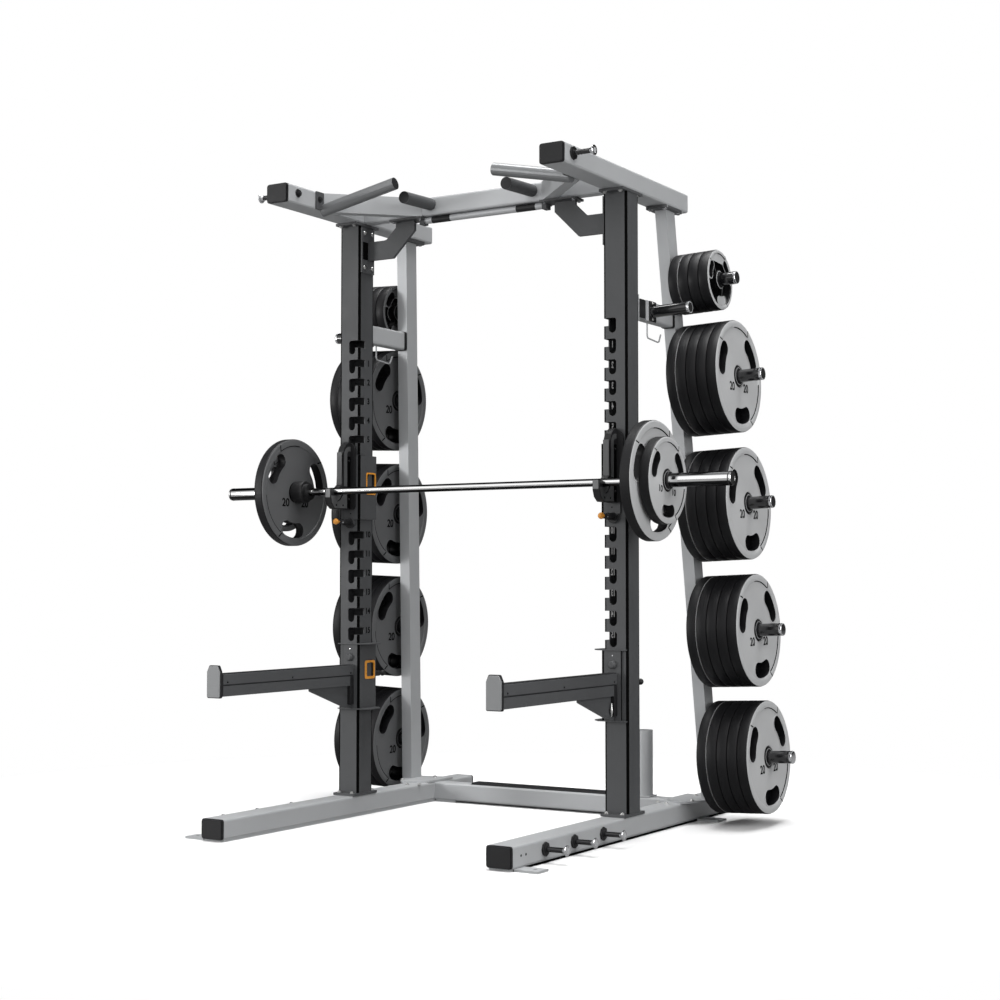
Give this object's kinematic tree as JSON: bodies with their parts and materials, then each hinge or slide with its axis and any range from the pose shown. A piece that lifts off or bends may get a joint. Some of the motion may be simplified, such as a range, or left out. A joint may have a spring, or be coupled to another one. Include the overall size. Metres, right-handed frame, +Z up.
{
  "type": "power cage",
  "caption": "Open-fronted power cage with slotted uprights, lift-off bar hooks and safety arms, pull-up grips, a loaded barbell on the hooks and plate storage on leaning rear posts.",
  "frame": {"origin": "on the floor at the middle of the whole object's box", "axes": "+X to the cage's right seen from the front, +Y to the rear, +Z up"},
  "size_m": [2.218, 1.6758, 2.4541],
  "materials": {
    "black": "moulded, fine grain",
    "charcoal": "fine-textured powder coat",
    "chrome": "polished",
    "grey": "moulded satin",
    "orange": "gloss",
    "rubber": "moulded satin",
    "silver": "satin metallic paint"
  },
  "bodies": {
    "frame": {"angled_grip_left": "silver", "angled_grip_right": "silver", "bar_holder": "silver", "beam_cap_left": "black", "beam_cap_right": "black", "corner_brace_left": "silver", "corner_brace_right": "silver", "corner_bracket_left": "charcoal", "corner_bracket_right": "charcoal", "foot_cap_front_left": "black", "foot_cap_front_right": "black", "foot_cap_rear_left": "black", "foot_cap_rear_right": "black", "foot_left": "silver", "foot_right": "silver", "neutral_grip_left": "charcoal", "neutral_grip_right": "charcoal", "pull_up_bar": "silver", "rear_cross_member": "silver", "rear_post_left": "silver", "rear_post_right": "silver", "stub_beam_left": "silver", "stub_beam_right": "silver", "top_beam_left": "silver", "top_beam_right": "silver", "top_cross_beam": "silver", "tread_strip": "black", "upright_left": "charcoal", "upright_right": "charcoal"},
    "hook_left": {"hook_carriage_left": "charcoal", "hook_liner_left": "black"},
    "hook_lock_left": {"hook_pin_left": "orange"},
    "safety_left": {"safety_arm_left": "charcoal", "safety_liner_left": "black", "safety_stop_left": "grey"},
    "safety_lock_left": {"safety_pin_left": "chrome"},
    "hook_right": {"hook_carriage_right": "charcoal", "hook_liner_right": "black"},
    "hook_lock_right": {"hook_pin_right": "orange"},
    "safety_right": {"safety_arm_right": "charcoal", "safety_liner_right": "black", "safety_stop_right": "grey"},
    "safety_lock_right": {"safety_pin_right": "chrome"},
    "barbell": {"bar_shaft": "chrome"},
    "sleeve_left": {"bar_sleeve_left": "chrome"},
    "large_plate_left": {"large_bar_plate_left": "rubber"},
    "small_plate_left": {"small_bar_plate_left": "rubber"},
    "stack_1_left": {"plate_stack_1_left": "rubber"},
    "stack_2_left": {"plate_stack_2_left": "rubber"},
    "stack_3_left": {"plate_stack_3_left": "rubber"},
    "stack_4_left": {"plate_stack_4_left": "rubber"},
    "stack_5_left": {"plate_stack_5_left": "rubber"},
    "sleeve_right": {"bar_sleeve_right": "chrome"},
    "large_plate_right": {"large_bar_plate_right": "rubber"},
    "small_plate_right": {"small_bar_plate_right": "rubber"},
    "stack_1_right": {"plate_stack_1_right": "rubber"},
    "stack_2_right": {"plate_stack_2_right": "rubber"},
    "stack_3_right": {"plate_stack_3_right": "rubber"},
    "stack_4_right": {"plate_stack_4_right": "rubber"},
    "stack_5_right": {"plate_stack_5_right": "rubber"}
  },
  "joints": [
    {"name": "hook_lift_left", "type": "slide", "parent": "frame", "child": "hook_left", "axis": [0, 0, 1], "range_m": [0, 0.024]},
    {"name": "hook_lock_pull_left", "type": "slide", "parent": "hook_left", "child": "hook_lock_left", "axis": [0, -1, 0], "range_m": [0, 0.012], "stiffness_N_per_m": 500, "springref_m": -0.006},
    {"name": "safety_lift_left", "type": "slide", "parent": "frame", "child": "safety_left", "axis": [0, 0, 1], "range_m": [0, 0.024]},
    {"name": "safety_lock_pull_left", "type": "slide", "parent": "safety_left", "child": "safety_lock_left", "axis": [0, 1, 0], "range_m": [0, 0.012], "stiffness_N_per_m": 500, "springref_m": -0.006},
    {"name": "hook_lift_right", "type": "slide", "parent": "frame", "child": "hook_right", "axis": [0, 0, 1], "range_m": [0, 0.024]},
    {"name": "hook_lock_pull_right", "type": "slide", "parent": "hook_right", "child": "hook_lock_right", "axis": [0, -1, 0], "range_m": [0, 0.012], "stiffness_N_per_m": 500, "springref_m": -0.006},
    {"name": "safety_lift_right", "type": "slide", "parent": "frame", "child": "safety_right", "axis": [0, 0, 1], "range_m": [0, 0.024]},
    {"name": "safety_lock_pull_right", "type": "slide", "parent": "safety_right", "child": "safety_lock_right", "axis": [0, 1, 0], "range_m": [0, 0.012], "stiffness_N_per_m": 500, "springref_m": -0.006},
    {"name": "barbell_lift", "type": "slide", "parent": "hook_left", "child": "barbell", "axis": [0, 0, 1], "range_m": [0, 0.3]},
    {"name": "sleeve_spin_left", "type": "hinge", "parent": "barbell", "child": "sleeve_left", "pos_m": [-0.7067, -0.1236, 1.2775], "axis": [1, 0, 0], "continuous": true},
    {"name": "large_plate_slide_left", "type": "slide", "parent": "sleeve_left", "child": "large_plate_left", "axis": [-1, 0, 0], "range_m": [0, 0.2]},
    {"name": "small_plate_slide_left", "type": "slide", "parent": "large_plate_left", "child": "small_plate_left", "axis": [-1, 0, 0], "range_m": [0, 0.24]},
    {"name": "stack_slide_1_left", "type": "slide", "parent": "frame", "child": "stack_1_left", "axis": [-0.9991, 0, 0.0421], "range_m": [0, 0.3]},
    {"name": "stack_slide_2_left", "type": "slide", "parent": "frame", "child": "stack_2_left", "axis": [-0.9991, 0, 0.0421], "range_m": [0, 0.3]},
    {"name": "stack_slide_3_left", "type": "slide", "parent": "frame", "child": "stack_3_left", "axis": [-0.9991, 0, 0.0421], "range_m": [0, 0.3]},
    {"name": "stack_slide_4_left", "type": "slide", "parent": "frame", "child": "stack_4_left", "axis": [-0.9991, 0, 0.0421], "range_m": [0, 0.3]},
    {"name": "stack_slide_5_left", "type": "slide", "parent": "frame", "child": "stack_5_left", "axis": [-0.9991, 0, 0.0421], "range_m": [0, 0.24]},
    {"name": "sleeve_spin_right", "type": "hinge", "parent": "barbell", "child": "sleeve_right", "pos_m": [0.7067, -0.1236, 1.2775], "axis": [1, 0, 0], "continuous": true},
    {"name": "large_plate_slide_right", "type": "slide", "parent": "sleeve_right", "child": "large_plate_right", "axis": [1, 0, 0], "range_m": [0, 0.2]},
    {"name": "small_plate_slide_right", "type": "slide", "parent": "large_plate_right", "child": "small_plate_right", "axis": [1, 0, 0], "range_m": [0, 0.24]},
    {"name": "stack_slide_1_right", "type": "slide", "parent": "frame", "child": "stack_1_right", "axis": [0.9991, 0, 0.0421], "range_m": [0, 0.3]},
    {"name": "stack_slide_2_right", "type": "slide", "parent": "frame", "child": "stack_2_right", "axis": [0.9991, 0, 0.0421], "range_m": [0, 0.3]},
    {"name": "stack_slide_3_right", "type": "slide", "parent": "frame", "child": "stack_3_right", "axis": [0.9991, 0, 0.0421], "range_m": [0, 0.3]},
    {"name": "stack_slide_4_right", "type": "slide", "parent": "frame", "child": "stack_4_right", "axis": [0.9991, 0, 0.0421], "range_m": [0, 0.3]},
    {"name": "stack_slide_5_right", "type": "slide", "parent": "frame", "child": "stack_5_right", "axis": [0.9991, 0, 0.0421], "range_m": [0, 0.24]}
  ],
  "couplings": [
    {"joint": "hook_lift_right", "follows": "hook_lift_left", "ratio": 1}
  ]
}
